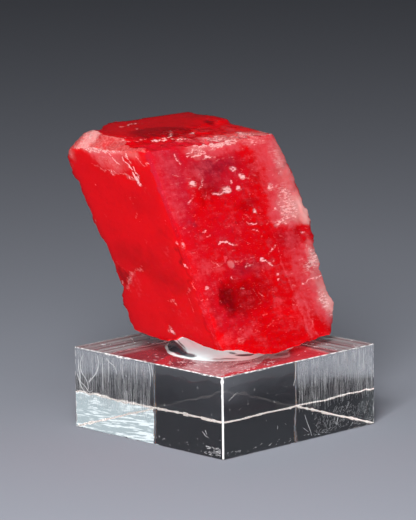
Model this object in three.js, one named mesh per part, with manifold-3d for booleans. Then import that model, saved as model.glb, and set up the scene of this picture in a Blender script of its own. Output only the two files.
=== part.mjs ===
// Rhodochrosite specimen: one cleavage rhomb of clear red rhodochrosite, set with a pad of
// clear adhesive on a square polished acrylic block.
// Millimetres, +Z up. The origin is the centre of the block's underside. The block's sides
// lie along X and Y, and its nearest corner in the usual view is the one at -X, -Y.
import * as THREE from 'three';
import { mergeVertices } from 'three/addons/utils/BufferGeometryUtils.js';
import Module from 'manifold-3d';

const solidLibrary = await Module();
solidLibrary.setup();

// ---- Driving dimensions ----

// Acrylic block: a standard 1 1/4 inch square with saw-cut and polished faces.
const BLOCK_SIDE = 31.75;
const BLOCK_HEIGHT = 12.2;
const BLOCK_ARRIS = 0.3;

// Crystal: three cleavage edges, A, B and C, run from its top front corner. A goes back to
// the left, B goes back to the right, and C goes down. The faces of a rhodochrosite
// cleavage rhomb have an acute plane angle of 76.93 degrees.
const EDGE_A = 21.9;
const EDGE_B = 30.1;
const EDGE_C = 33.1;
const FACE_ANGLE = 76.93;
const HEADING_A = { azimuth: 84.25, rise: 0.78 };
const HEADING_B = { azimuth: 7.36, rise: -2.21 };
const TOP_FRONT_CORNER = new THREE.Vector3(-21.42, -6.88, 44.99);

// Breaks: each plane passes through three points given as lengths along A, B and C, and
// takes off the side that holds the fourth point.
const PLANE_BREAKS = [
  // top left corner, a long hackly bevel
  { through: [[0, 0, 0], [20.5, 5.6, 0], [20.8, 0, 3.1]], removes: [22, 0, 0] },
  // left edge, worn back along its whole length
  { through: [[21.6, 0, 4], [20.8, 0, 20], [21.9, 4, 10]], removes: [21.9, 0, 33.1] },
  // top right edge, a shallow bevel that widens to the right
  { through: [[0, 11, 0], [10.5, 26, 0], [0, 29.5, 0.75]], removes: [0, 30.1, 0] },
  // top right corner
  { through: [[0, 29.2, 0.4], [0, 29.9, 3.2], [7, 30.1, 0.3]], removes: [0, 30.1, 0] },
  // right edge below its middle
  { through: [[0, 30, 15], [0, 28.6, 27], [20, 30.1, 17]], removes: [0, 30.1, 33] },
  // bottom right corner
  { through: [[0, 28.6, 27.3], [0, 25.6, 32.5], [22, 29.5, 27]], removes: [0, 30.1, 33] },
  // underside below the front edge
  { through: [[0, 0, 30.9], [0, 9.5, 33.1], [14, 0, 32.1]], removes: [0, 0, 33.1] },
  // underside to the right
  { through: [[0, 13, 33.1], [0, 25.4, 32.3], [21, 16, 33.1]], removes: [0, 30.1, 33.1] },
  // bottom left corner and back bottom edge
  { through: [[20.7, 0, 31.4], [14.5, 0, 32.1], [21.9, 30, 30]], removes: [21.9, 15, 33.1] },
];

// Shell-shaped chips: the centre of each, in lengths along A, B and C, and its radius.
const ROUND_BREAKS = [
  // left edge, low down
  { centre: [44.9, -4, 26.6], radius: 24.35 },
  // back top edge beside the bevel
  { centre: [22.6, 7.8, -2.4], radius: 4.5 },
];

// Adhesive: a poured pad whose edge wanders round the axis. Its radius is given every
// 30 degrees, anticlockwise from +X.
const PAD_CENTRE = new THREE.Vector2(0.5, -1.2);
const PAD_RADII = [9.6, 9.9, 10.0, 9.9, 9.8, 9.9, 10.3, 10.6, 10.2, 8.2, 8.0, 9.3];
const PAD_LEAN = 1.2;
const PAD_RISE = 3.4;
const BOND_GAP = 0.3;

// ---- Materials ----

const rhodochrositeRed = new THREE.MeshStandardMaterial({
  color: 0xd2101c, roughness: 0.22, metalness: 0,
});
const clearAdhesive = new THREE.MeshStandardMaterial({
  color: 0xe6e9ea, roughness: 0.06, metalness: 0, transparent: true, opacity: 0.4,
});
const clearAcrylic = new THREE.MeshStandardMaterial({
  color: 0xeef2f3, roughness: 0.04, metalness: 0, transparent: true, opacity: 0.35,
});

// ---- Solids: closed geometries joined and cut ----

function solidFrom(geometry) {
  geometry.deleteAttribute('normal');
  geometry.deleteAttribute('uv');
  const merged = mergeVertices(geometry, 1e-5);
  return new solidLibrary.Manifold(new solidLibrary.Mesh({
    numProp: 3,
    vertProperties: new Float32Array(merged.attributes.position.array),
    triVerts: new Uint32Array(merged.index.array),
  }));
}

function geometryFrom(solid) {
  const mesh = solid.getMesh();
  const geometry = new THREE.BufferGeometry();
  geometry.setAttribute('position', new THREE.BufferAttribute(mesh.vertProperties, 3));
  geometry.setIndex(new THREE.BufferAttribute(mesh.triVerts, 1));
  geometry.computeVertexNormals();
  return geometry;
}

// ---- The crystal's own directions ----

function direction({ azimuth, rise }) {
  const around = THREE.MathUtils.degToRad(azimuth);
  const up = THREE.MathUtils.degToRad(rise);
  return new THREE.Vector3(
    Math.cos(around) * Math.cos(up), Math.sin(around) * Math.cos(up), Math.sin(up));
}

// C makes the acute face angle with B and the obtuse one with A, so it leans from A
// towards B by an equal amount of each, and the rest of its unit length goes down.
const alongA = direction(HEADING_A);
const alongB = direction(HEADING_B);
const cosine = Math.cos(THREE.MathUtils.degToRad(FACE_ANGLE));
const lean = alongB.clone().sub(alongA).multiplyScalar(cosine / (1 - cosine));
const downNormal = alongA.clone().cross(alongB).normalize();
const alongC = lean.clone().addScaledVector(downNormal, Math.sqrt(1 - lean.lengthSq()));

function crystalPoint([a, b, c]) {
  return TOP_FRONT_CORNER.clone()
    .addScaledVector(alongA, a).addScaledVector(alongB, b).addScaledVector(alongC, c);
}

// A unit cube sheared onto the three edges, grown on every side by a margin.
function rhomb(margin) {
  const geometry = new THREE.BoxGeometry(1, 1, 1);
  const lengths = [EDGE_A, EDGE_B, EDGE_C].map((length) => length + 2 * margin);
  const shear = new THREE.Matrix4().makeBasis(
    alongA.clone().multiplyScalar(lengths[0]),
    alongB.clone().multiplyScalar(-lengths[1]),
    alongC.clone().multiplyScalar(-lengths[2]));
  shear.setPosition(crystalPoint([EDGE_A / 2, EDGE_B / 2, EDGE_C / 2]));
  if (shear.determinant() < 0) throw new Error('the rhomb is inside out');
  return solidFrom(geometry.applyMatrix4(shear));
}

// A large box whose one face lies on the break plane, covering what has gone.
function planeBreak({ through, removes }, margin) {
  const BREAK_BOX = 80;
  const plane = new THREE.Plane().setFromCoplanarPoints(...through.map(crystalPoint));
  if (plane.distanceToPoint(crystalPoint(removes)) < 0) plane.negate();
  const face = new THREE.Vector3();
  plane.projectPoint(crystalPoint(through[0]), face);
  const geometry = new THREE.BoxGeometry(BREAK_BOX, BREAK_BOX, BREAK_BOX);
  const turn = new THREE.Quaternion()
    .setFromUnitVectors(new THREE.Vector3(0, 0, 1), plane.normal);
  geometry.applyQuaternion(turn);
  const offset = plane.normal.clone().multiplyScalar(BREAK_BOX / 2 + margin).add(face);
  return solidFrom(geometry.translate(offset.x, offset.y, offset.z));
}

function roundBreak({ centre, radius }, margin) {
  const middle = crystalPoint(centre);
  const geometry = new THREE.SphereGeometry(radius - margin, 40, 24);
  return solidFrom(geometry.translate(middle.x, middle.y, middle.z));
}

function crystalSolid(margin) {
  const cuts = [
    ...PLANE_BREAKS.map((plane) => planeBreak(plane, margin)),
    ...ROUND_BREAKS.map((chip) => roundBreak(chip, margin)),
  ];
  return cuts.reduce((solid, cut) => solid.subtract(cut), rhomb(margin));
}

function rhodochrositeCrystal() {
  const mesh = new THREE.Mesh(geometryFrom(crystalSolid(0)), rhodochrositeRed);
  mesh.name = 'rhodochrosite_crystal';
  return mesh;
}

// ---- Adhesive pad ----

// The wandering outline is extruded with its upper edge rounded all the way down to the
// block, then the crystal, grown by the bond gap, is taken out of it, so that the pad's top
// follows the broken underside.
function adhesivePad() {
  const rim = PAD_RADII.map((radius, index) => {
    const around = (2 * Math.PI * index) / PAD_RADII.length;
    return new THREE.Vector3(
      (radius - PAD_LEAN) * Math.cos(around), (radius - PAD_LEAN) * Math.sin(around), 0);
  });
  const curve = new THREE.CatmullRomCurve3(rim, true, 'centripetal');
  const outline = new THREE.Shape(
    curve.getSpacedPoints(60).slice(0, -1).map(({ x, y }) => new THREE.Vector2(x, y)));
  const geometry = new THREE.ExtrudeGeometry(outline, {
    depth: PAD_RISE, bevelEnabled: true, bevelThickness: PAD_RISE,
    bevelSize: PAD_LEAN, bevelSegments: 6,
  });
  geometry.translate(PAD_CENTRE.x, PAD_CENTRE.y, BLOCK_HEIGHT - PAD_RISE);
  const aboveBlock = new THREE.BoxGeometry(40, 40, 2 * PAD_RISE);
  aboveBlock.translate(0, 0, BLOCK_HEIGHT + PAD_RISE);
  const pad = solidFrom(geometry).intersect(solidFrom(aboveBlock))
    .subtract(crystalSolid(BOND_GAP));
  const mesh = new THREE.Mesh(geometryFrom(pad), clearAdhesive);
  mesh.name = 'clear_adhesive_pad';
  return mesh;
}

// ---- Acrylic block ----

function acrylicBlock() {
  const half = BLOCK_SIDE / 2 - BLOCK_ARRIS;
  const outline = new THREE.Shape([
    new THREE.Vector2(-half, -half), new THREE.Vector2(half, -half),
    new THREE.Vector2(half, half), new THREE.Vector2(-half, half),
  ]);
  const geometry = new THREE.ExtrudeGeometry(outline, {
    depth: BLOCK_HEIGHT - 2 * BLOCK_ARRIS, bevelEnabled: true, bevelThickness: BLOCK_ARRIS,
    bevelSize: BLOCK_ARRIS, bevelSegments: 1,
  });
  geometry.translate(0, 0, BLOCK_ARRIS);
  const mesh = new THREE.Mesh(geometry, clearAcrylic);
  mesh.name = 'acrylic_block';
  return mesh;
}

const specimen = new THREE.Group();
specimen.add(rhodochrositeCrystal(), adhesivePad(), acrylicBlock());

export default specimen;
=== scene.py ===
import bpy
import numpy as np
from mathutils import Matrix, Vector


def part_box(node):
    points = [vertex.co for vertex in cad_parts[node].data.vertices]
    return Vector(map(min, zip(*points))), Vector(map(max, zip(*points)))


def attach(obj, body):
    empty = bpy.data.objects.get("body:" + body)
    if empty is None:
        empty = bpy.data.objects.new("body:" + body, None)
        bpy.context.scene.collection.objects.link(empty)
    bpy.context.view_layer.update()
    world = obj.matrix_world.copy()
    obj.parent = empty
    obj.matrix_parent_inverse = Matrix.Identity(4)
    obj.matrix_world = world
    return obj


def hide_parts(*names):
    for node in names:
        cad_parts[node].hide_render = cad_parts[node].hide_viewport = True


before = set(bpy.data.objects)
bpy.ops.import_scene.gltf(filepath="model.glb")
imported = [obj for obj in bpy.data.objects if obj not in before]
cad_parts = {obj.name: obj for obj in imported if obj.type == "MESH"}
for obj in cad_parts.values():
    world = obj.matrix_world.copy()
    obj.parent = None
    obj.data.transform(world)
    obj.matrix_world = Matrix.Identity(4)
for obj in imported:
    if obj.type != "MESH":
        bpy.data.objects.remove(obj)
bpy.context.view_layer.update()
MM = 0.001


# ---- Acrylic block ----
# The holder is a square slab sawn from cast acrylic sheet and polished on all six faces. Its
# arrises are narrow frosted bevels, nicked by handling and left as sawn at the foot. It stands
# loose on the floor.

block_low, block_high = (np.array(corner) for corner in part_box("acrylic_block"))
block_middle = (block_low + block_high) / 2
TOP_ARRIS = 0.09 * MM
SIDE_ARRIS = 0.17 * MM
FOOT_ARRIS = 0.1 * MM
OUTER_ARRIS_SHARE = 1.5
ARRIS_CHIP = 0.16 * MM
BLOCK_STEPS = (110, 110, 70)
STEP_CROWDING = (2.6, 2.6, 2.0)
ACRYLIC_IOR = 1.49
RIPPLE_SCALE = (130, 130, 60)
STREAK_SCALE = (900, 900, 70)
RIPPLE_DEPTH = 0.16 * MM
NICK_SCALE = 1500.0
NICKS_FROM = 12.0 * MM
REAR_ARRIS_FROM = 31.0 * MM
FRINGE_EDGES = (0.08 * MM, 0.16 * MM)
BAND_SCALE = 700.0
BANDS_FADE_IN = (5.5 * MM, 8.5 * MM)


def skin_of_steps(counts):
    """The outer skin of a brick of grid steps, as whole-number places and quads.
    Each side is a sheet of places; those shared by two sides are merged, so the skin is
    closed, and every quad runs anticlockwise seen from outside."""
    sheets, quads, first = [], [], 0
    for axis in range(3):
        side, rise = (axis + 1) % 3, (axis + 2) % 3
        for far in (0, 1):
            grid = np.meshgrid(
                np.arange(counts[side] + 1), np.arange(counts[rise] + 1), indexing="ij")
            place = np.zeros(grid[0].shape + (3,), int)
            place[..., side], place[..., rise] = grid
            place[..., axis] = far * counts[axis]
            number = first + np.arange(grid[0].size).reshape(grid[0].shape)
            ring = [number[:-1, :-1], number[1:, :-1], number[1:, 1:], number[:-1, 1:]]
            quads.append(np.stack(ring if far else ring[::-1], -1).reshape(-1, 4))
            sheets.append(place.reshape(-1, 3))
            first += grid[0].size
    places, merged = np.unique(np.concatenate(sheets), axis=0, return_inverse=True)
    return places, merged.reshape(-1)[np.concatenate(quads)]


def noise(points, size, seed):
    """Smooth noise from 0 to 1: seeded random values at the corners of cubes of the given
    size, blended across each cube by an s-curve along each axis."""
    cells = 32
    table = np.random.default_rng(seed).random((cells,) * 3)
    scaled = np.asarray(points) / size
    base = np.floor(scaled).astype(int)
    part = scaled - base
    part = part * part * (3 - 2 * part)
    total = np.zeros(len(scaled))
    for corner in np.ndindex(2, 2, 2):
        index = tuple(((base + corner) % cells).T)
        total += table[index] * np.prod(np.where(corner, part, 1 - part), axis=1)
    return total


def reach_walls(centre, points, normals, distances, depths, turns=4, ease=1.0):
    """Moves each point along its ray from the centre to the first wall that the ray meets.
    A wall has a unit normal and a distance from the origin, and is cut in by its depth at
    each place; the depths are read again where the ray has arrived, and it moves on by the
    eased share of what is left.
    Returns the points and the number of the wall that each one lies on."""
    ray = points - centre
    facing = normals @ ray.T
    room = (distances - normals @ centre)[:, None]
    share = np.ones(len(points))
    for _ in range(turns):
        left = room - depths(centre + ray * share[:, None])
        reach = np.where(facing > 1e-7, left / np.maximum(facing, 1e-7), np.inf)
        share = share + ease * (reach.min(axis=0) - share)
    return centre + ray * share[:, None], reach.argmin(axis=0)


def make_piece(name, points, quads, smooth=False):
    """A mesh object from arrays of points and quads."""
    mesh = bpy.data.meshes.new(name)
    mesh.from_pydata(points.tolist(), [], quads if isinstance(quads, list) else quads.tolist())
    mesh.polygons.foreach_set("use_smooth", np.full(len(quads), smooth))
    mesh.update()
    piece = bpy.data.objects.new(name, mesh)
    bpy.context.scene.collection.objects.link(piece)
    return piece


def new_material(name):
    """A material, its node tree and its Principled shader."""
    material = bpy.data.materials.new(name)
    material.use_nodes = True
    tree = material.node_tree
    return material, tree, tree.nodes["Principled BSDF"]


def add_node(tree, kind, settings=None, **links):
    """A node with plain settings, and inputs by socket name: a value or another's output."""
    node = tree.nodes.new(kind)
    for key, value in (settings or {}).items():
        setattr(node, key, value)
    for key, value in links.items():
        socket = node.inputs[int(key[1:])] if key[0] == "_" else node.inputs[key.replace("_", " ")]
        if isinstance(value, bpy.types.NodeSocket):
            tree.links.new(value, socket)
        else:
            socket.default_value = value
    return node


def crowded(count, crowd):
    """Fractions from 0 to 1 that crowd towards both ends: a scaled hyperbolic tangent."""
    return (1 + np.tanh(np.linspace(-1, 1, count + 1) * crowd) / np.tanh(crowd)) / 2


def block_walls():
    """Normals and distances of six polished faces, twelve arris planes and eight corners."""
    half = (block_high - block_low) / 2
    signs = np.array([sign for sign in np.ndindex(3, 3, 3) if sign != (1, 1, 1)]) - 1
    used = np.abs(signs).sum(axis=1)
    normals = signs / np.sqrt(used)[:, None]
    arris = np.choose(signs[:, 2] + 1, [FOOT_ARRIS, SIDE_ARRIS, TOP_ARRIS])
    outer = (signs[:, 2] == 0) & (signs[:, 0] * signs[:, 1] < 0)
    arris = np.where(outer, OUTER_ARRIS_SHARE * arris, arris)
    cut = np.choose(used - 1, [0 * arris, arris / np.sqrt(2), (arris + SIDE_ARRIS) / np.sqrt(3)])
    return normals, np.abs(normals) @ half + normals @ block_middle - cut, used


def block_depths(places):
    """Chips: the arrises and corners are cut deeper where two sizes of noise are both high."""
    fine = noise(places, 0.55 * MM, 11)
    coarse = noise(places, 2.4 * MM, 12)
    chips = ARRIS_CHIP * (0.12 * fine + 1.6 * np.clip(fine + 0.7 * coarse - 1.0, 0, None))
    return (arris_planes > 1)[:, None] * chips


steps, quads = skin_of_steps(BLOCK_STEPS)
fractions = np.stack([
    crowded(count, crowd)[step] for count, crowd, step in zip(BLOCK_STEPS, STEP_CROWDING, steps.T)
], axis=1)
normals, distances, arris_planes = block_walls()
points, wall_of = reach_walls(
    block_middle, block_low + fractions * (block_high - block_low), normals, distances, block_depths)
block = make_piece("acrylic_slab", points, quads)
POLISHED, FROSTED, SCUFFED_AND_REFLECTION, SAWN_AND_GLOW = range(4)
corner_normals = normals[wall_of][quads]
facing = corner_normals.mean(axis=1)
finish = np.where((arris_planes > 1)[wall_of][quads].any(axis=1), FROSTED, POLISHED)
# The top faces take the finish tinted with the painted reflection.
finish[(corner_normals[:, :, 2] > 0.99).all(axis=1)] = SCUFFED_AND_REFLECTION
# The foot's arrises take the finish with the painted glow.
finish[(finish == FROSTED) & (facing[:, 2] < -0.1)] = SAWN_AND_GLOW
finish[(finish == SAWN_AND_GLOW) & (facing[:, :2].min(axis=1) < -0.1)] = POLISHED
block.data.polygons.foreach_set("material_index", finish)

clear, tree, shader = new_material("polished_acrylic")
shader.inputs["Base Color"].default_value = (0.97, 0.985, 0.985, 1)
shader.inputs["Roughness"].default_value = 0.0
shader.inputs["IOR"].default_value = ACRYLIC_IOR
shader.inputs["Transmission Weight"].default_value = 1.0
ripple = add_node(
    tree, "ShaderNodeTexNoise", Scale=1.0, Detail=2.0, Vector=add_node(
        tree, "ShaderNodeMapping", Scale=RIPPLE_SCALE, Vector=add_node(
            tree, "ShaderNodeTexCoord").outputs["Object"]).outputs["Vector"])
streak = add_node(
    tree, "ShaderNodeTexNoise", Scale=1.0, Detail=3.0, Vector=add_node(
        tree, "ShaderNodeMapping", Scale=STREAK_SCALE, Vector=add_node(
            tree, "ShaderNodeTexCoord").outputs["Object"]).outputs["Vector"])
height = add_node(
    tree, "ShaderNodeMath", {"operation": "MULTIPLY_ADD"}, _0=streak.outputs["Fac"], _1=0.03,
    _2=ripple.outputs["Fac"])
bump = add_node(
    tree, "ShaderNodeBump", Strength=1.0, Distance=RIPPLE_DEPTH, Height=height.outputs["Value"])
tree.links.new(bump.outputs["Normal"], shader.inputs["Normal"])

# The rear arris has blue and orange tints in place of the fringes that dispersion would give.
frosted, tree, shader = new_material("frosted_arris")
spot = add_node(tree, "ShaderNodeTexCoord").outputs["Object"]
nicks = add_node(tree, "ShaderNodeTexNoise", Vector=spot, Scale=NICK_SCALE, Detail=2.0)
nick_share = add_node(
    tree, "ShaderNodeMapRange", Value=nicks.outputs["Fac"], From_Min=0.42, From_Max=0.56)
parts = add_node(tree, "ShaderNodeSeparateXYZ", _0=spot)
below = add_node(
    tree, "ShaderNodeMath", {"operation": "LESS_THAN"}, _0=parts.outputs["Z"], _1=NICKS_FROM)
worn = add_node(
    tree, "ShaderNodeMath", {"operation": "MAXIMUM"}, _0=nick_share.outputs["Result"],
    _1=below.outputs["Value"])
chipped = add_node(tree, "ShaderNodeMix", {"data_type": "RGBA"}, _0=worn.outputs["Value"])
chipped.inputs[6].default_value = (0.30, 0.29, 0.30, 1)
chipped.inputs[7].default_value = (0.95, 0.93, 0.92, 1)
across = add_node(
    tree, "ShaderNodeMath", {"operation": "SUBTRACT"}, _0=parts.outputs["X"], _1=parts.outputs["Y"])
outward = add_node(tree, "ShaderNodeMath", {"operation": "ABSOLUTE"}, _0=across.outputs["Value"])
fringe_share = add_node(
    tree, "ShaderNodeMapRange", Value=outward.outputs["Value"], From_Min=FRINGE_EDGES[0],
    From_Max=FRINGE_EDGES[1])
fringe = add_node(tree, "ShaderNodeMix", {"data_type": "RGBA"}, _0=fringe_share.outputs["Result"])
fringe.inputs[6].default_value = (0.62, 0.80, 1.0, 1)
fringe.inputs[7].default_value = (0.80, 0.42, 0.16, 1)
depth = add_node(
    tree, "ShaderNodeMath", {"operation": "ADD"}, _0=parts.outputs["X"], _1=parts.outputs["Y"])
behind = add_node(
    tree, "ShaderNodeMath", {"operation": "GREATER_THAN"}, _0=depth.outputs["Value"],
    _1=REAR_ARRIS_FROM)
edge = add_node(
    tree, "ShaderNodeMix", {"data_type": "RGBA"}, _0=behind.outputs["Value"],
    _6=chipped.outputs[2], _7=fringe.outputs[2])
tree.links.new(edge.outputs[2], shader.inputs["Base Color"])
shader.inputs["Roughness"].default_value = 0.45
shader.inputs["IOR"].default_value = ACRYLIC_IOR
shader.inputs["Transmission Weight"].default_value = 0.35

# The top's red and its pale bands are a painted reflection: tints that stand in for the crystal
# and the room mirrored in it, so it is less clear than the sides.
scuffed_and_reflection, tree, shader = new_material("scuffed_top_painted_reflection")
spot = add_node(tree, "ShaderNodeSeparateXYZ", _0=add_node(
    tree, "ShaderNodeTexCoord").outputs["Object"])
sweep = add_node(
    tree, "ShaderNodeMath", {"operation": "MAXIMUM"}, _0=spot.outputs["X"], _1=spot.outputs["Y"])
bands = add_node(
    tree, "ShaderNodeTexNoise", {"noise_dimensions": "1D"}, W=sweep.outputs["Value"], Scale=BAND_SCALE,
    Detail=3.0)
band_share = add_node(
    tree, "ShaderNodeMapRange", Value=bands.outputs["Fac"], From_Min=0.43, From_Max=0.57)
banded = add_node(tree, "ShaderNodeMix", {"data_type": "RGBA"}, _0=band_share.outputs["Result"])
banded.inputs[6].default_value = (0.5, 0.14, 0.16, 1)
banded.inputs[7].default_value = (1.0, 0.93, 0.94, 1)
rear = add_node(
    tree, "ShaderNodeMapRange", Value=sweep.outputs["Value"], From_Min=BANDS_FADE_IN[0],
    From_Max=BANDS_FADE_IN[1])
surface = add_node(
    tree, "ShaderNodeMix", {"data_type": "RGBA"}, _0=rear.outputs["Result"], _7=banded.outputs[2])
surface.inputs[6].default_value = (0.78, 0.08, 0.11, 1)
tree.links.new(surface.outputs[2], shader.inputs["Base Color"])
shader.inputs["Roughness"].default_value = 0.05
shader.inputs["IOR"].default_value = ACRYLIC_IOR
shader.inputs["Transmission Weight"].default_value = 0.68

# The emission is a painted glow for light that the foot's edges catch from outside the view.
sawn_and_glow, tree, shader = new_material("sawn_foot_painted_glow")
shader.inputs["Base Color"].default_value = (0.95, 0.88, 0.84, 1)
shader.inputs["Roughness"].default_value = 0.5
shader.inputs["IOR"].default_value = ACRYLIC_IOR
shader.inputs["Transmission Weight"].default_value = 0.2
shader.inputs["Emission Color"].default_value = (1.0, 0.93, 0.87, 1)
shader.inputs["Emission Strength"].default_value = 0.5
for material in (clear, frosted, scuffed_and_reflection, sawn_and_glow):
    block.data.materials.append(material)
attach(block, "root")
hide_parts("acrylic_block")


# ---- Scuffs on the acrylic, some strewn as painted light ----
# Handling has left hair-fine scratches, curls of lint, nicks and pale bruises on the block's
# faces. Each is a raised burr of torn acrylic, bonded to the face that it lies on. On the sides
# many are strewn thick as painted light, to make parts of them paler.

SCUFF_RISE = 0.02 * MM
SCUFF_STEEPNESS = 1.2
SCUFF_SINK = 0.01 * MM
FACE_REACH = 15.6
UPRIGHT = np.pi / 2
LEFT_SCUFFS_AND_PAINTED_LIGHT = [
    (0.07, (10.6, 11.6), (10.4, 10.0), (11.2, 8.6), (12.3, 7.6), (12.8, 7.0), (12.2, 8.0)),
    (0.05, (13.9, 11.2), (14.6, 9.8), (14.2, 8.4), (13.2, 7.6), (12.6, 6.2), (13.4, 5.6)),
    (0.05, (15.2, 8.2), (14.6, 7.0), (13.6, 6.6), (12.6, 5.6), (11.8, 6.2)),
    (0.05, (14.9, 10.4), (14.9, 9.0), (14.5, 7.8), (14.8, 6.8), (14.0, 6.0)),
    (0.04, (15.0, 7.4), (14.2, 6.0), (13.0, 5.2), (12.2, 5.6)),
    (0.05, (8.7, 11.4), (8.0, 10.9), (7.1, 10.6), (6.6, 9.9), (6.5, 9.3)),
    (0.045, (9.6, 11.5), (9.55, 9.0), (9.6, 6.4)), (0.045, (8.2, 11.2), (8.25, 9.2), (8.3, 7.8)),
    (0.04, (5.2, 10.6), (5.15, 8.9)), (0.04, (4.4, 7.2), (4.3, 5.2)),
    (0.08, (-3.6, 6.3), (-3.72, 6.2)),
    (0.05, (-0.4, 12.0), (-0.8, 10.4), (-0.7, 8.6)), (0.04, (-1.0, 12.0), (-1.3, 10.2)),
    (0.03, (-11.6, 3.6), (-12.3, 3.0), (-12.9, 2.9)), (0.03, (-12.2, 3.9), (-12.5, 3.3)),
]
RIGHT_SCUFFS_AND_PAINTED_LIGHT = [
    (0.04, (0.9, 3.9), (1.4, 2.6), (2.1, 1.2), (2.3, 0.5)), (0.03, (0.5, 2.0), (1.6, 1.2)),
    (0.04, (8.0, 2.6), (7.7, 1.8), (7.6, 1.2)),
    (0.03, (12.5, 11.9), (12.6, 9.2)), (0.03, (13.4, 11.6), (13.4, 8.6)),
    (0.03, (11.4, 11.8), (11.5, 10.2)),
    (0.05, (-0.9, 12.0), (-1.0, 9.6), (-1.4, 8.6)), (0.05, (9.3, 12.0), (9.5, 10.9)),
    (0.02, (-14.6, 8.6), (-12.9, 9.6)),
]


def strew(count, seed, low, high, run, turn, spread, half):
    """Seeded short burrs: starts spread evenly over a rectangle, lengths up to the run, each
    turned about the given angle by a normal spread."""
    rng = np.random.default_rng(seed)
    starts = np.array(low) + rng.random((count, 2)) * (np.array(high) - low)
    angles = turn + rng.normal(0, spread, count)
    lengths = run * (0.25 + 0.75 * rng.random(count))
    ends = starts + np.stack([np.cos(angles), np.sin(angles)], axis=1) * lengths[:, None]
    ends = np.clip(ends, [-FACE_REACH, low[1] - 0.1], [FACE_REACH, high[1] + 0.5])
    widths = half * (0.6 + 0.8 * rng.random(count))
    return [(width, tuple(start), tuple(end)) for width, start, end in zip(widths, starts, ends)]


# On the sides: fine upright hairlines, coarser ones, specks, and nicks at the foot. The
# hairlines lie only on the outer half of each side, and they make it paler from the front: they
# are partly real scratches and partly painted light, strewn thick to pale that half.
LEFT_SCUFFS_AND_PAINTED_LIGHT += strew(640, 51, (-0.7, 3.4), (15.4, 11.4), 4.0, UPRIGHT, 0.03, 0.004)
LEFT_SCUFFS_AND_PAINTED_LIGHT += strew(22, 61, (1, 4.4), (15.4, 11.0), 2.2, UPRIGHT, 0.04, 0.007)
LEFT_SCUFFS_AND_PAINTED_LIGHT += strew(40, 52, (-15.4, 1.0), (15, 11.2), 0.4, 0.5, 1.5, 0.016)
LEFT_SCUFFS_AND_PAINTED_LIGHT += strew(24, 53, (-15.6, 0.3), (-1, 1.6), 0.4, 0.1, 0.5, 0.014)
LEFT_SCUFFS_AND_PAINTED_LIGHT += strew(46, 54, (-15.6, 0.4), (-12.4, 1.7), 0.7, -0.15, 0.3, 0.028)
RIGHT_SCUFFS_AND_PAINTED_LIGHT += strew(580, 55, (-0.4, 4.2), (15.4, 11.4), 4.0, UPRIGHT, 0.03, 0.0038)
RIGHT_SCUFFS_AND_PAINTED_LIGHT += strew(20, 62, (1.5, 5), (15.4, 11.0), 2.2, UPRIGHT, 0.04, 0.007)
RIGHT_SCUFFS_AND_PAINTED_LIGHT += strew(50, 56, (-15.4, 1.0), (15, 11.2), 0.45, 0.3, 1.5, 0.016)
RIGHT_SCUFFS_AND_PAINTED_LIGHT += strew(50, 57, (-15.6, 0.3), (15.4, 1.0), 0.5, 0.15, 0.4, 0.015)
# The short burrs strewn thick on the lower right are painted light too, to make it paler.
RIGHT_SCUFFS_AND_PAINTED_LIGHT += strew(320, 63, (3.0, 0.4), (15.6, 3.7), 0.8, 1.3, 0.9, 0.005)
# On the top: nicks and bruises crowded towards the front corner, and fewer all over.
TOP_SCUFFS = strew(200, 59, (-15.4, -15.4), (-3, -3), 0.8, 0.8, 0.9, 0.03)
TOP_SCUFFS += strew(120, 60, (-15.4, -15.4), (15, 15), 0.7, 0.3, 1.2, 0.02)


def burr(half, path, place):
    """A three-sided bar swept along a path on a flat face: two feet sunk in the face and a
    ridge above; it tapers to both ends, which are closed by triangles. The half-width and
    the path are in mm; place turns them into places on the face."""
    path = np.array(path)
    along = np.append(0, np.cumsum(np.hypot(*np.diff(path, axis=0).T)))
    sample = np.linspace(0, along[-1], 4 * len(path))
    u, v = np.interp(sample, along, path[:, 0]), np.interp(sample, along, path[:, 1])
    for _ in range(3 if len(path) > 3 else 0):
        u[1:-1] = (u[:-2] + 2 * u[1:-1] + u[2:]) / 4
        v[1:-1] = (v[:-2] + 2 * v[1:-1] + v[2:]) / 4
    run_u, run_v = np.gradient(u), np.gradient(v)
    size = np.hypot(run_u, run_v)
    width = half * np.maximum(np.sin(np.pi * np.linspace(0.08, 0.92, len(u))) ** 0.5, 0.3)
    side_u, side_v = -run_v / size * width, run_u / size * width
    feet = [place(u + side_u, v + side_v, -SCUFF_SINK), place(u - side_u, v - side_v, -SCUFF_SINK)]
    ridge = place(u, v, min(SCUFF_RISE, SCUFF_STEEPNESS * half * MM))
    points = np.stack(feet + [ridge], axis=1).reshape(-1, 3)
    ring = np.arange(len(u))[:-1, None] * 3 + np.arange(3)
    beside = np.roll(ring, -1, axis=1)
    bars = np.stack([ring, ring + 3, beside + 3, beside], -1).reshape(-1, 4)
    last = 3 * (len(u) - 1)
    return points, bars.tolist() + [[0, 1, 2], [last + 2, last + 1, last]]


def on_left_face(u, v, out):
    """Places on the block's -X face from a length along Y and a height, in mm, and a rise."""
    return np.stack([np.full(len(u), block_low[0] - out), u * MM, v * MM], axis=1)


def on_right_face(u, v, out):
    """Places on the block's -Y face from a length along X and a height, in mm, and a rise."""
    return np.stack([u * MM, np.full(len(u), block_low[1] - out), v * MM], axis=1)


def on_top_face(u, v, out):
    """Places on the block's top from lengths along X and Y in mm, and a rise."""
    return np.stack([u * MM, v * MM, np.full(len(u), block_high[2] + out)], axis=1)


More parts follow.
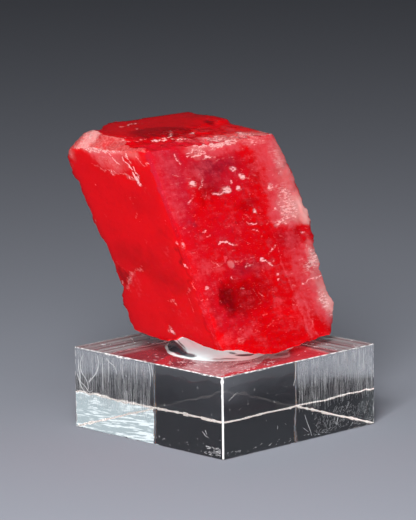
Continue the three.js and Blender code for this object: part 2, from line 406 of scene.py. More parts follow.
scuff_points, scuff_faces, first = [], [], 0
for table, place in (
        (LEFT_SCUFFS_AND_PAINTED_LIGHT, on_left_face), (RIGHT_SCUFFS_AND_PAINTED_LIGHT, on_right_face), (TOP_SCUFFS, on_top_face)):
    for half, *path in table:
        some, faces = burr(half, path, place)
        scuff_points.append(some)
        scuff_faces += [[first + index for index in face] for face in faces]
        first += len(some)
scuffs_and_painted_light = make_piece("acrylic_scuffs_and_painted_light", np.concatenate(scuff_points), scuff_faces)
torn, tree, shader = new_material("torn_acrylic_and_painted_light")
shader.inputs["Base Color"].default_value = (0.80, 0.80, 0.81, 1)
shader.inputs["Roughness"].default_value = 0.5
shader.inputs["IOR"].default_value = ACRYLIC_IOR
shader.inputs["Transmission Weight"].default_value = 0.35
scuffs_and_painted_light.data.materials.append(torn)
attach(scuffs_and_painted_light, "root")
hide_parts("acrylic_block")


# ---- Rhodochrosite crystal ----
# One cleavage rhomb of gem rhodochrosite, grown and then broken out of its vein. Its faces
# are the mineral's three cleavages; the corners and the underside are hackly breaks. It
# stands in a blob of adhesive on the block.

CRYSTAL_CORNER = np.array([-21.42, -6.88, 44.99]) * MM
PAD_CENTRE = np.array([0.5, -1.2]) * MM
EDGE_LENGTHS = np.array([21.9, 30.1, 33.1])
FACE_ANGLE = np.radians(76.93)
GRID_STEPS = np.array([68, 158, 170])


def direction(azimuth, rise):
    """The unit vector at an azimuth from +X and a rise above level, both in degrees."""
    around, up = np.radians(azimuth), np.radians(rise)
    return np.array([np.cos(around) * np.cos(up), np.sin(around) * np.cos(up), np.sin(up)])


along_a, along_b = direction(84.25, 0.78), direction(7.36, -2.21)
lean = (along_b - along_a) * np.cos(FACE_ANGLE) / (1 - np.cos(FACE_ANGLE))
down = np.cross(along_a, along_b) / np.linalg.norm(np.cross(along_a, along_b))
along_c = lean + down * np.sqrt(1 - lean @ lean)
CLEAVAGES = np.array([along_a, along_b, along_c])


def crystal_place(lengths):
    """Places from lengths a, b and c in mm, measured along the three cleavage edges from the
    crystal's top front corner."""
    return CRYSTAL_CORNER + np.asarray(lengths) @ CLEAVAGES * MM


def crystal_lengths(places):
    """The lengths a, b and c in mm of places: the inverse of crystal_place."""
    return (places - CRYSTAL_CORNER) @ np.linalg.inv(CLEAVAGES) / MM


def wall_through(lengths):
    """The outward normal and distance of the plane through three places, given as lengths."""
    first, second, third = crystal_place(lengths)
    normal = np.cross(second - first, third - first)
    normal /= np.linalg.norm(normal)
    if normal @ (first - crystal_middle) < 0:
        normal = -normal
    return normal, normal @ first


def fade(value, start, end):
    """One at the start, zero at the end, along an s-curve."""
    part = np.clip((value - end) / (start - end), 0, 1)
    return part * part * (3 - 2 * part)


def stepped(value, size):
    """Stairs: the value rounded down to whole steps, with a short steep ramp between."""
    whole = np.floor(value / size)
    return size * (whole + fade(value / size - whole, 1.0, 0.6))


def crystal_depths(places):
    """How deep each wall is cut, in mm along its normal: edge profiles read off by linear
    interpolation, low steps along the cleavages, and stepped noise where it is broken. The
    rows are in the order of the walls' names below."""
    a, b, c = crystal_lengths(places).T
    lengths = np.stack([a, b, c], axis=1)
    coarse = noise(lengths, 3.1, 31)
    middling = noise(lengths, 1.3, 32)
    fine = noise(lengths, 0.55, 33)
    along = noise(lengths * [1, 1, 0.2], 0.9, 34)
    broken = stepped(0.9 * coarse + 0.5 * middling, 0.28) + 0.22 * fine
    skin = 0.02 * (middling - 0.5)

    left_edge = EDGE_LENGTHS[0] - np.interp(
        c, [0, 3, 4.6, 7.3, 7.9, 9.9, 13.8, 16.5, 18, 24.6, 25.6, 27.5, 31.5],
        [21.3, 21.6, 22.0, 22.0, 21.15, 21.3, 21.1, 20.4, 19.8, 19.8, 20.45, 21.1, 20.8])
    back_edge = EDGE_LENGTHS[0] - np.interp(
        b, [4.2, 5.4, 6.6, 7.9, 12.9, 18.7, 29.6], [19.9, 17.9, 18.6, 19.9, 21.9, 22.3, 21.9])
    right_edge = EDGE_LENGTHS[1] - np.interp(
        c, [0.2, 1.6, 3.1, 4.6, 7.1, 10, 13.2, 15.7, 18.6, 24, 27.5, 29.5, 31.5, 32.3],
        [29.4, 30.0, 30.3, 30.1, 30.6, 30.3, 30.6, 30.3, 29.4, 29.0, 29.0, 28.1, 26.7, 25.8])
    right_foot = EDGE_LENGTHS[2] - np.interp(
        b, [0, 4.6, 6.5, 9.6, 11.9, 16, 20, 25.4],
        [31.4, 31.7, 32.3, 33.0, 33.1, 32.95, 32.6, 32.3])
    left_foot = EDGE_LENGTHS[2] - np.interp(
        a, [0, 4, 7.5, 8.7, 11.1, 13.6, 20.6], [31.4, 31.3, 30.8, 30.6, 31.6, 32.0, 31.5])

    rim = 0.5 * (middling - 0.5) + 0.35 * (fine - 0.5)
    top_line = np.interp(
        b, [0, 1.5, 4.7, 5.7, 7.9, 12, 13, 30], [14, 13, 8.1, 6.4, 6.3, 5.3, 2.5, 1.5])
    top = 0.22 * fade(a + 0.8 * (coarse - 0.5), top_line - 0.1, top_line + 0.15)
    top += 0.1 * fade(a + 1.2 * (middling - 0.5), 3.2, 3.5) * fade(b, 30, 8)
    top += stepped(0.5 * along, 0.08) * fade(a, 7, 12) - 0.2 + skin
    top -= 0.35 * fade(a, 10.6, 10.1) * fade(a, 13, 19) * fade(b, 28.5, 21)
    right = 0.1 * fade(b + 0.1 * coarse, 21.2, 20.9) * fade(c, 33, 21) + skin
    right += (0.4 * broken - 0.2) * fade(b + 2 * (coarse - 0.5), 29.5, 24.5)
    left = skin
    back = left_edge * fade(b, 0, 7) * fade(c, 3.5, 2)
    back = np.maximum(back, back_edge * fade(c, 0.5, 5)) + rim * fade(b, 3, 9)
    back += stepped(1.1 * noise(lengths * [1, 1, 0.45], 5.5, 35), 0.3) * fade(b, 8, 3)
    side = right_edge * np.maximum(fade(a, 0, 10), fade(c, 33, 27)) + rim * fade(a, 3, 9)
    side -= 0.35 * fade(a, 12, 10) * fade(c, 1, 5)
    side += stepped(1.3 * noise(lengths * [1, 1, 0.4], 4.5, 36), 0.33) * fade(a, 9, 2)
    foot = np.maximum(right_foot * fade(a, 1, 14), left_foot * fade(b, 1, 10)) + 0.4 * (broken - 0.5)
    knob = 0.6 * broken - 0.25 - 0.55 * fade(a, 14, 10)
    ridge = np.where(c > 13.5, 0.35 * (broken - 0.6), 0.1 * (fine - 0.5))
    return np.stack([
        top, left, right, back, side, foot,
        knob, 0.25 * (broken - 0.4) - 0.5 * fade(a, 10.6, 10.1), 0.3 * (broken - 0.4), ridge,
    ]) * MM


TOP, LEFT, RIGHT, BACK, SIDE, FOOT, KNOB, BEVEL, CORNER, RIDGE = range(10)
crystal_middle = crystal_place(EDGE_LENGTHS / 2)
A, B, C = EDGE_LENGTHS
crystal_walls = [
    wall_through([[0, 0, 0], [A, 0, 0], [0, B, 0]]),
    wall_through([[0, 0, 0], [A, 0, 0], [0, 0, C]]),
    wall_through([[0, 0, 0], [0, B, 0], [0, 0, C]]),
    wall_through([[A, 0, 0], [A, B, 0], [A, 0, C]]),
    wall_through([[0, B, 0], [A, B, 0], [0, B, C]]),
    wall_through([[0, 0, C], [A, 0, C], [0, B, C]]),
    wall_through([[0, 0, 0], [20.5, 5.6, 0], [20.8, 0, 3.1]]),
    wall_through([[0, 11, 0], [10.5, 25.2, 0], [0, 29.5, 0.35]]),
    wall_through([[0, 29.2, 0.4], [0, 29.9, 3.2], [7, 30.1, 0.3]]),
    wall_through([[0.9, 0, 0], [0.9, 0, 33], [0, 0.3, 0]]),
]
steps, quads = skin_of_steps(GRID_STEPS)
points, wall_of = reach_walls(
    crystal_middle, crystal_place(steps / GRID_STEPS * EDGE_LENGTHS),
    np.array([normal for normal, _ in crystal_walls]),
    np.array([distance for _, distance in crystal_walls]), crystal_depths, turns=9, ease=0.6)
crystal = make_piece("rhodochrosite_rhomb", points, quads, smooth=True)
crystal.data.set_sharp_from_angle(angle=np.radians(24))


def blot(u, v, shape):
    """A soft oval: one within it, falling to zero across its edge; shape is its middle, its
    half-lengths along u and v, the share of it that is edge, and its strength."""
    middle_u, middle_v, half_u, half_v, edge, strength = shape
    away = np.hypot((u - middle_u) / half_u, (v - middle_v) / half_v)
    return strength * fade(away, 1 - edge, 1)


def scratch(u, v, shape):
    """A line of given half-width and strength through points, from the distance to its
    nearest segment; the strength fades towards both ends."""
    half, strength, *ends = shape
    mask = np.zeros(len(u))
    for (u0, v0), (u1, v1) in zip(ends[:-1], ends[1:]):
        run = np.hypot(u1 - u0, v1 - v0)
        share = np.clip(((u - u0) * (u1 - u0) + (v - v0) * (v1 - v0)) / run ** 2, 0, 1)
        away = np.hypot(u - u0 - share * (u1 - u0), v - v0 - share * (v1 - v0))
        mask = np.maximum(mask, strength * fade(away, 0.2 * half, half))
    return mask


def gather(u, v, blots, scratches=()):
    """Several blots and scratches laid over one another, each hiding its share of the rest."""
    masks = [blot(u, v, shape) for shape in blots] + [scratch(u, v, shape) for shape in scratches]
    return 1 - np.prod(1 - np.clip(masks, 0, 1), axis=0)


def fine_scratches(count, width, height, slope, seed):
    """Short faint scratches strewn over a face by a seeded generator, most near one slope."""
    rng = np.random.default_rng(seed)
    starts = rng.random((count, 2)) * [width, height]
    turn = slope + rng.normal(0, 0.5, count)
    run = 0.4 + 1.1 * rng.random(count)
    ends = starts + np.stack([run * np.cos(turn), run * np.sin(turn)], axis=1)
    strengths = 0.12 + 0.35 * rng.random(count) ** 2
    return [
        (0.2, strength, tuple(start), tuple(end))
        for strength, start, end in zip(strengths, starts, ends)]


# The crystal's marks, in mm along its edges: ovals for blot (middle, half-lengths, edge,
# strength) and lines for scratch (half-width, strength, points). Those named for the right
# face are places along b and c, for the left a and c, and for the top b and a.
RIGHT_DEEP = [
    (5.4, 23.6, 2.4, 2.9, 0.6, 1.0), (8.0, 23.6, 4.8, 4.2, 0.7, 0.6), (13, 23, 4.5, 3.4, 0.7, 0.4),
    (13.5, 3.9, 8, 2.0, 0.8, 0.75), (10.5, 6.6, 5, 2.8, 0.8, 0.6),
    (13, 19.8, 5.4, 1.3, 0.6, 0.45), (17.5, 10.4, 3.2, 1.5, 0.7, 0.4),
    (3.6, 11.5, 1.6, 0.9, 0.8, 0.45), (8.2, 8.8, 1.5, 1.0, 0.8, 0.35), (21.6, 5.5, 2.0, 2.6, 0.6, 0.25),
    (24, 16.6, 5, 1.7, 0.6, 0.3), (2, 25, 1.6, 4, 0.8, 0.3),
]
# On the right face these hazy ovals are painted sheen, the panel at the right mirrored in the face; on
# the left face and the top they are partly a pale veil and partly painted sheen.
RIGHT_HAZE_AND_SHEEN = [
    (1.6, 6, 3.3, 8, 0.6, 0.35), (7, 4.5, 6, 6, 0.9, 0.2), (14, 4, 9, 4, 0.9, 0.1),
    (24.6, 4, 4.6, 8, 0.8, 0.45), (23.5, 12, 4.5, 4, 0.8, 0.5), (23.5, 24, 4, 9, 0.9, 0.4),
    (25, 17, 5, 3, 0.9, 0.35), (1.5, 22, 3, 10, 0.9, 0.12), (4, 18.5, 5, 3, 0.9, 0.4),
    (28.5, 5.5, 6.5, 9, 0.7, 0.78),
    (25, 11.5, 5, 5, 0.9, 0.7), (28, 20.5, 4.0, 5, 0.8, 0.9), (27.6, 27, 4.6, 6.5, 0.7, 0.95),
    (21.2, 29, 0.45, 6, 0.8, 0.6), (22.5, 29, 0.4, 6, 0.8, 0.55), (21.9, 29, 1.0, 6, 0.5, 0.25),
    (21.0, 20, 0.6, 7, 0.8, 0.3), (8.1, 18, 0.95, 0.75, 0.2, 0.85), (24.5, 22, 4, 6, 0.9, 0.4),
    (25.5, 13.8, 5, 1.3, 0.5, 0.6), (13.5, 1.6, 5, 1.5, 0.8, 0.5), (16, 20, 5, 2, 0.9, 0.3),
    (7, 29, 5, 2, 0.9, 0.35), (2, 30, 2.5, 2, 0.9, 0.5),
    (15.5, 0.2, 11, 2.6, 0.7, 0.8), (25, 0.6, 5, 2.4, 0.8, 0.6), (20, 26, 8, 7, 0.9, 0.22),
]
# These frosted ovals are partly frosted breaks and partly painted glints, and along the right edge partly
# a painted highlight of the light that grazes it.
RIGHT_FROST_AND_GLINTS = [
    (25.2, 12.5, 2.4, 3.2, 0.9, 0.6), (24.2, 8.4, 1.4, 1.0, 0.8, 0.6), (28, 4, 2.8, 5, 0.9, 0.4),
    (28.2, 20, 2.4, 3.2, 0.9, 0.6), (26.8, 9.5, 3.0, 2.6, 0.9, 0.5), (27.4, 12.0, 2.6, 3.4, 0.9, 0.55),
    (27.2, 27.0, 2.2, 4.2, 0.9, 0.6), (26, 21.5, 3, 2.4, 0.9, 0.5), (23.5, 13.8, 3, 0.8, 0.8, 0.4),
    (7.1, 5.8, 1.5, 0.75, 0.8, 0.95), (14.1, 7.6, 1.8, 0.85, 0.8, 1.0), (12.2, 7.9, 1.6, 0.4, 0.8, 0.7),
    (18.5, 6.1, 1.1, 0.9, 0.8, 1.0), (17.2, 4.8, 1.3, 0.6, 0.8, 0.9), (16.9, 7.7, 1.0, 0.65, 0.8, 0.9),
    (15.7, 6.5, 0.5, 0.45, 0.7, 0.7), (18.6, 11.6, 0.8, 0.6, 0.8, 0.7), (16.4, 18.9, 1.0, 0.5, 0.7, 0.85),
    (2.0, 21.6, 0.8, 0.5, 0.7, 0.8), (8.2, 20.7, 0.4, 0.4, 0.7, 0.7), (18.6, 21.5, 0.6, 0.35, 0.7, 0.7),
    (18.3, 22.3, 0.5, 0.3, 0.7, 0.7), (6.0, 13.1, 0.8, 0.3, 0.7, 0.7), (12.4, 2.3, 1.3, 0.45, 0.7, 0.7),
    (23, 14, 1.6, 0.9, 0.9, 0.55), (22.2, 21.8, 0.6, 0.25, 0.7, 0.45), (0.4, 14.6, 0.6, 1.0, 0.8, 0.5),
    (15, 0.0, 9, 1.2, 0.6, 0.85), (24, 0.8, 5, 1.6, 0.9, 0.45), (5, 30, 2, 1.2, 0.9, 0.4),
]
RIGHT_SCRATCHES = [
    (0.2, 0.45, (9.5, 0.9), (13.2, 0.8)), (0.2, 0.5, (10, 1.5), (14.6, 1.3)),
    (0.2, 0.45, (11, 2.5), (14.2, 2.4)), (0.2, 0.4, (13.4, 3.0), (16, 2.8)),
    (0.22, 0.7, (8, 1.25), (11.5, 1.2)), (0.22, 0.8, (8, 1.85), (12.4, 1.8)),
    (0.25, 0.7, (10, 0.4), (15, 0.5), (20, 0.3)), (0.22, 0.6, (14, 1.0), (20.2, 0.7)),
    (0.24, 0.7, (5.3, 1.5), (6.0, 2.8)), (0.22, 0.6, (9.7, 5), (9, 6.2), (8, 6.8)),
    (0.22, 0.65, (10.8, 8.0), (13.5, 7.8)), (0.2, 0.5, (4.5, 8.5), (6.2, 8.1)),
    (0.26, 1.0, (8.1, 15.3), (9.5, 15.5), (11, 15.8)), (0.2, 0.6, (11, 15.8), (12.2, 16.3)),
    (0.2, 0.6, (12, 19.7), (13.1, 19)), (0.24, 0.7, (17, 19), (18.1, 20)),
    (0.26, 0.55, (18.3, 18.2), (20.5, 17.2)), (0.2, 0.4, (11.8, 22.8), (13, 24.6)),
    (0.24, 0.65, (23.5, 23.6), (25.2, 23.3), (28.6, 22.9)), (0.2, 0.35, (5, 18.6), (15.5, 18.3)),
    (0.22, 0.25, (20.9, 15), (20.8, 25)), (0.24, 0.25, (21.2, 25), (21.3, 32)),
    (0.24, 0.25, (22.5, 26), (22.7, 32)), (0.22, 0.65, (15.8, 13), (18, 13.3)),
    (0.2, 0.6, (16.9, 14.1), (18, 14.6)), (0.2, 0.4, (2.3, 5.5), (4, 5.7)),
    (0.2, 0.4, (15, 16.2), (14, 15.6)), (0.2, 0.35, (12, 28.9), (14, 28.4)),
]
# The violet ovals paint the darker magenta cast of that sheen.
RIGHT_VIOLET = [
    (2.2, 5, 5, 11, 0.6, 0.75), (8, 2.6, 9, 5, 0.8, 0.6), (15, 4.5, 8, 6.0, 0.8, 0.55),
    (2.5, 21, 4.5, 12, 0.8, 0.3), (12, 19.5, 8, 2.2, 0.8, 0.5), (10, 14, 9, 6, 0.9, 0.25),
    (6, 27.5, 6, 4, 0.9, 0.3), (24, 17, 6, 4, 0.9, 0.25),
]
LEFT_DEEP = [
    (17.9, 22.6, 1.8, 2.0, 0.5, 0.7), (13, 18.5, 8, 3.5, 0.8, 0.3), (1.6, 16.5, 0.5, 2.5, 0.6, 0.7),
    (6, 21.5, 7, 2.4, 0.9, 0.32), (1.3, 20, 0.4, 3, 0.6, 0.5), (3, 13, 2.6, 1.2, 0.8, 0.2),
    (1.4, 27, 0.4, 2.4, 0.6, 0.4), (9, 9, 6, 2.5, 0.9, 0.12),
]
# The oval about a 10, c 3 here, and those near it among the frosted and pale ones, are a painted
# reflection: the pearly flash of a crack inside the crystal.
LEFT_HAZE_AND_SHEEN = [
    (12.5, 1.0, 8.5, 2.6, 0.45, 1.0), (15.6, 22.6, 2.6, 1.8, 0.8, 0.55),
    (10.2, 3.3, 5.6, 2.0, 0.3, 0.75), (3.4, 2.2, 2.4, 2.0, 0.7, 0.6), (15.5, 21.8, 2.0, 1.4, 0.7, 0.4),
    (14.5, 25, 5, 3, 0.8, 0.3), (5, 28, 5, 3, 0.8, 0.42), (20.8, 4.0, 1.6, 3.2, 0.7, 0.5),
    (4.6, 16.5, 2.2, 2.2, 0.8, 0.42), (1.0, 3.5, 0.9, 10, 0.6, 0.35), (0.6, 22, 0.9, 9, 0.7, 0.6),
    (12.5, 14.5, 6, 1.4, 0.9, 0.25), (3.5, 8.5, 2.6, 4.5, 0.9, 0.25), (19.6, 17, 0.9, 3, 0.7, 0.35),
    (8, 26, 6, 2.6, 0.9, 0.3),
]
LEFT_FROST = [
    (10.5, 29.9, 1.0, 0.7, 0.7, 0.6), (16.4, 7.5, 0.3, 0.5, 0.5, 0.6), (19.4, 23.6, 0.3, 0.7, 0.5, 0.6),
    (20.5, 14.3, 0.4, 0.3, 0.5, 0.5), (5.0, 5.9, 0.4, 0.6, 0.6, 0.7), (0.7, 17.8, 0.7, 0.9, 0.6, 0.65),
    (0.5, 24.6, 0.35, 1.6, 0.6, 0.6), (0.6, 14.6, 0.8, 0.7, 0.6, 0.6), (7.4, 24.6, 0.6, 0.4, 0.6, 0.35),
    (0.5, 21, 0.5, 1.4, 0.6, 0.5), (0.6, 29.4, 0.5, 1.0, 0.6, 0.55), (14, 1.0, 6, 1.3, 0.8, 0.8),
    (8.5, 1.0, 4, 1.2, 0.8, 0.55), (10.5, 3.2, 5, 1.6, 0.7, 0.3), (20.6, 3.4, 1.2, 1.6, 0.8, 0.3),
    (10.8, 29.7, 1.4, 0.8, 0.8, 0.5), (0.4, 27.5, 0.4, 2.2, 0.6, 0.4),
]
LEFT_SCRATCHES = [
    (0.27, 0.9, (8, 0.6), (7.2, 2), (5.8, 4), (5.0, 5.6)),
    (0.2, 0.8, (6, 1.5), (5.2, 3.2), (4.8, 6.2)), (0.24, 0.7, (3.8, 1.6), (2.6, 2.6), (1.2, 2.5)),
    (0.5, 0.35, (12.5, 20.5), (15, 21.1), (16.3, 21.6)),
    (0.8, 0.4, (15.8, 21.9), (17.0, 23.4), (18.0, 24.6)), (0.3, 0.25, (16.3, 21.4), (19, 20.6)),
    (0.3, 0.8, (19.5, 0.3), (15, 1.2), (11, 0.6)), (0.25, 0.7, (17, 1.8), (13, 2.2), (10, 1.4)),
    (0.22, 0.7, (10, 2.2), (8.4, 1.2), (7.6, 0.2)), (0.22, 0.6, (12, 0.8), (9.5, 2.6), (9, 3.6)),
    (0.24, 0.3, (2.2, 21.5), (3.1, 23.5), (3.5, 25.6)), (0.3, 0.5, (4.9, 5.2), (9, 4.95), (13.4, 5.0)),
    (0.24, 0.4, (13.4, 5.0), (15.6, 4.0)), (0.25, 0.4, (9, 24.8), (7, 24.5)),
]
# The pale rim is partly frosted break and partly a painted highlight of the light grazing the right edge.
PALE_RIM = [(29.4, 12.6, 3.4, 4.2, 0.8, 0.95), (26.5, 12, 3.5, 3.5, 0.9, 0.35), (29, 7, 3.5, 5, 0.9, 0.3)]
ROUND_SPOT = (9.1, 18.7, 0.85, 0.7, 0.3, 1.0)
PALE_BELOW = [
    (28.4, 27, 2.8, 4.6, 0.8, 0.85), (28.6, 20, 2.2, 3.6, 0.9, 0.5), (29.5, 3, 2.5, 3.5, 0.9, 0.25),
    (16.5, -0.2, 7, 1.1, 0.8, 0.4), (27.5, 23.5, 2.5, 2, 0.9, 0.35), (11, 0.9, 4, 1.5, 0.8, 0.3),
]
PALE_LEFT = [
    (14.5, 1.2, 5.5, 1.6, 0.8, 0.75), (9, 0.9, 5, 1.4, 0.9, 0.5), (10.5, 3.2, 5, 1.9, 0.5, 0.12),
    (20.5, 3.0, 1.6, 1.8, 0.9, 0.25), (4.5, 1.2, 3, 1.2, 0.9, 0.3),
]
# On the top these frosted ovals are partly frosted breaks and partly painted glints.
TOP_FROST_AND_GLINTS = [
    (12.3, 3.4, 0.8, 0.7, 0.5, 0.9), (12, 4.6, 0.5, 0.5, 0.5, 0.8), (17, 7.2, 0.9, 0.7, 0.5, 0.95),
    (19, 3.7, 0.8, 0.6, 0.5, 0.8), (23.8, 2.8, 1.1, 0.7, 0.5, 0.8), (16, 1, 1.0, 0.6, 0.5, 0.8),
    (20, 1.4, 11, 2.4, 0.7, 0.5), (26, 4.4, 3.4, 3.6, 0.8, 0.5), (17, 3.6, 8, 2.0, 0.8, 0.3),
]
TOP_HAZE_AND_SHEEN = [
    (20, 1.2, 12, 3.8, 0.5, 0.85), (26, 5, 5, 5.5, 0.8, 0.7), (11, 3, 8, 4, 0.9, 0.35),
    (8, 16, 4, 5, 0.8, 0.5), (3, 10, 4, 4, 0.8, 0.25), (27, 11, 5, 5, 0.9, 0.3),
]
TOP_DEEP = [
    (12.5, 10, 7.5, 4.4, 0.4, 0.75), (20, 9, 7, 3, 0.8, 0.35), (25.0, 10.8, 1.2, 1.3, 0.5, 1.0),
    (5, 6.5, 4, 3, 0.8, 0.3), (14, 5.0, 3, 1.2, 0.7, 0.4),
]
# The top's lines are partly scratches and partly painted glints; the last runs along the step on the top
# and is a painted highlight on its edge.
TOP_SCRATCHES_AND_GLINTS = [
    (0.4, 0.8, (7.5, 5.5), (8.5, 6.5)), (0.4, 0.7, (11.5, 6.5), (15, 9.8)),
    (0.35, 0.6, (11, 14), (12, 15)), (0.45, 0.6, (10, 17), (15, 18.3)),
    (0.35, 0.7, (1, 11.7), (5, 8.0)),
    (0.3, 0.95, (1.5, 13), (4.7, 8.1), (5.7, 6.4), (7.9, 6.3), (12, 5.3)),
]
a, b, c = crystal_lengths(points).T
lengths = np.stack([a, b, c], axis=1)
swirl = 0.9 * (noise(lengths, 1.1, 41) - 0.5) + 0.5 * (noise(lengths, 0.5, 42) - 0.5)
swirl_too = 0.9 * (noise(lengths, 1.1, 43) - 0.5) + 0.5 * (noise(lengths, 0.5, 44) - 0.5)
wall_masks = np.array([wall_of == number for number in range(len(crystal_walls))]).astype(float)
on_top, on_left, on_right = wall_masks[TOP], wall_masks[LEFT], wall_masks[RIGHT] + wall_masks[RIDGE]
off_pad = np.hypot(*(points[:, :2] - PAD_CENTRE).T)
# The underside outside the pad emits red, in place of light that comes down through it.
glow = wall_masks[FOOT] * fade(off_pad, 10 * MM, 8.5 * MM)
rough = wall_masks[KNOB] + 0.5 * wall_masks[BEVEL] + 0.6 * wall_masks[CORNER]
rough += 0.35 * wall_masks[[BACK, SIDE, FOOT]].sum(axis=0)

bw, cw, aw = b + 1.5 * swirl, c + 1.5 * swirl_too, a + 1.5 * swirl
bf, cf, af = b + 0.5 * swirl, c + 0.5 * swirl_too, a + 0.5 * swirl
deep = on_right * gather(bw, cw, RIGHT_DEEP) + on_left * gather(aw, cw, LEFT_DEEP)
deep += (on_top + wall_masks[BEVEL]) * gather(bw, aw, TOP_DEEP)
# On the right face the violet and the hazy pink are painted sheen: the panel at the right mirrored,
# darker and magenta where the violet lies.
violet = on_right * gather(bw, cw, RIGHT_VIOLET) + 0.35 * on_top * fade(a, 3, 6)
violet *= 1 - 0.8 * np.clip(blot(bw, cw, (6.4, 23.6, 4.0, 3.4, 0.5, 1.0)), 0, 1)
haze_and_sheen = on_right * (0.12 + gather(bw, cw, RIGHT_HAZE_AND_SHEEN)) + on_left * (gather(aw, cw, LEFT_HAZE_AND_SHEEN) - 0.3)
# The knob is painted: a highlight where its hazy, pale and frosted marks rise towards its middle, and
# shade where its outer part is made deeper red.
near_knob = fade(np.abs(a - 16.8), 0.8, 2.8)
haze_and_sheen += wall_masks[KNOB] * (0.8 * near_knob - 0.3)
haze_and_sheen += 0.4 * wall_masks[BEVEL] * fade(a, 3, 14) + 0.55 * wall_masks[CORNER]
# The ridge along the front edge is made less hazy in its upper part and deeper red: painted shade against
# the light it catches.
haze_and_sheen += on_top * (gather(bw, aw, TOP_HAZE_AND_SHEEN) - 0.3) - 0.3 * wall_masks[RIDGE] * fade(c, 12, 15)
deep += 0.3 * wall_masks[RIDGE] + 0.4 * wall_masks[KNOB] * (1 - near_knob)
frost_and_glints = on_right * gather(bf, cf, RIGHT_FROST_AND_GLINTS, RIGHT_SCRATCHES + fine_scratches(240, 28, 31, 0.1, 7))
pale = on_right * gather(bw, cf, PALE_RIM) * fade(cf, 14.7, 15.2)
pale += 0.4 * on_right * blot(b, c, ROUND_SPOT)
pale += on_right * gather(bw, cw, PALE_BELOW) + on_left * gather(aw, cf, PALE_LEFT)
pale += wall_masks[KNOB] * (0.05 + 0.5 * near_knob)
frost_and_glints += on_left * gather(
    (af + aw) / 2, (cf + cw) / 2, LEFT_FROST, LEFT_SCRATCHES + fine_scratches(26, 20, 30, 0.8, 8))
frost_and_glints += on_top * gather(bw, aw, TOP_FROST_AND_GLINTS, TOP_SCRATCHES_AND_GLINTS)
frost_and_glints += wall_masks[KNOB] * (0.34 + 0.26 * near_knob) + 0.3 * wall_masks[CORNER]
frost_and_glints += 0.5 * wall_masks[BEVEL] * fade(a, 1, 6)
plain = on_left + 0.25 * on_top
for name, values in (
        ("deep", deep), ("haze_and_sheen", haze_and_sheen), ("violet", violet), ("pale", pale), ("plain", plain),
        ("frost_and_glints", frost_and_glints), ("rough", rough), ("glow", glow)):
    layer = crystal.data.attributes.new(name, "FLOAT", "POINT")
    layer.data.foreach_set("value", np.clip(values, -1, 1))
layer = crystal.data.attributes.new("lengths", "FLOAT_VECTOR", "POINT")
layer.data.foreach_set("vector", lengths.reshape(-1))

# The hazy pink and the violet red partly paint sheen, the frosted white partly paints glints, and the
# pale pink partly paints highlights.
CLEAR_RED = (0.74, 0.0006, 0.0042, 1)
DARK_RED = (0.45, 0.0004, 0.0035, 1)
DEEP_RED = (0.23, 0.0003, 0.0025, 1)
HAZE_AND_SHEEN_PINK = (0.84, 0.09, 0.115, 1)
VIOLET_RED = (0.35, 0.022, 0.064, 1)
PALE_PINK = (0.96, 0.40, 0.38, 1)
FROST_AND_GLINT_WHITE = (0.97, 0.57, 0.55, 1)
GLOW_RED = (0.75, 0.004, 0.012, 1)
gem, tree, shader = new_material("rhodochrosite")


def read(name):
    """The output of a node that reads one of the crystal's own attributes."""
    node = add_node(tree, "ShaderNodeAttribute", {"attribute_name": name})
    return node.outputs["Vector" if name == "lengths" else "Fac"]


def ramp(value, low, high):
    """The value moved from the range low to high onto zero to one, along an s-curve."""
    node = add_node(
        tree, "ShaderNodeMapRange", {"interpolation_type": "SMOOTHSTEP"},
        Value=value, From_Min=low, From_Max=high)
    return node.outputs["Result"]


def combine(kind, first, second, third=0.0):
    """One step of arithmetic on values."""
    node = add_node(tree, "ShaderNodeMath", {"operation": kind}, _0=first, _1=second, _2=third)
    return node.outputs["Value"]


def blend_in(base, colour, share):
    """The base colour with a share of another mixed in."""
    node = add_node(tree, "ShaderNodeMix", {"data_type": "RGBA"})
    tree.links.new(share, node.inputs["Factor"])
    for socket, value in ((node.inputs[6], base), (node.inputs[7], colour)):
        if isinstance(value, bpy.types.NodeSocket):
            tree.links.new(value, socket)
        else:
            socket.default_value = value
    return node.outputs[2]


def cloud(scale, detail, stretch=(1, 1, 1)):
    """Noise over the crystal's own lengths, stretched along its edges."""
    squeeze = add_node(tree, "ShaderNodeMapping", Vector=read("lengths"), Scale=stretch)
    node = add_node(
        tree, "ShaderNodeTexNoise", Vector=squeeze.outputs["Vector"], Scale=scale, Detail=detail,
        Roughness=0.62)
    return node.outputs["Fac"]


mottle = cloud(0.35, 7.0)
grit = cloud(2.4, 5.0, (1.2, 0.45, 1.6))
veins = cloud(1.1, 5.0, (1, 0.35, 1.2))
specks = cloud(1.6, 8.0)
deep_share = combine("MULTIPLY", read("deep"), ramp(mottle, 0.22, 0.5))
violet_share = combine("MULTIPLY", read("violet"), combine("MULTIPLY_ADD", veins, 1.0, 0.05))
haze_and_sheen_sum = combine("MULTIPLY_ADD", combine("SUBTRACT", mottle, 0.5), 1.5, read("haze_and_sheen"))
haze_and_sheen_sum = combine("MULTIPLY_ADD", combine("SUBTRACT", veins, 0.5), 1.5, haze_and_sheen_sum)
haze_and_sheen_sum = combine("MULTIPLY_ADD", combine("SUBTRACT", specks, 0.5), 0.9, haze_and_sheen_sum)
haze_and_sheen_share = combine("MULTIPLY", ramp(haze_and_sheen_sum, 0.05, 1.2), 0.9)
frost_and_glint_sum = combine("MULTIPLY", read("frost_and_glints"), combine("MULTIPLY_ADD", grit, 3.8, -0.95))
frost_and_glint_share = combine("MULTIPLY", ramp(frost_and_glint_sum, 0.12, 1.1), 0.9)
broad = ramp(cloud(0.13, 2.0), 0.42, 0.62)
speck_share = combine("MULTIPLY", ramp(specks, 0.46, 0.68), ramp(mottle, 0.38, 0.62))
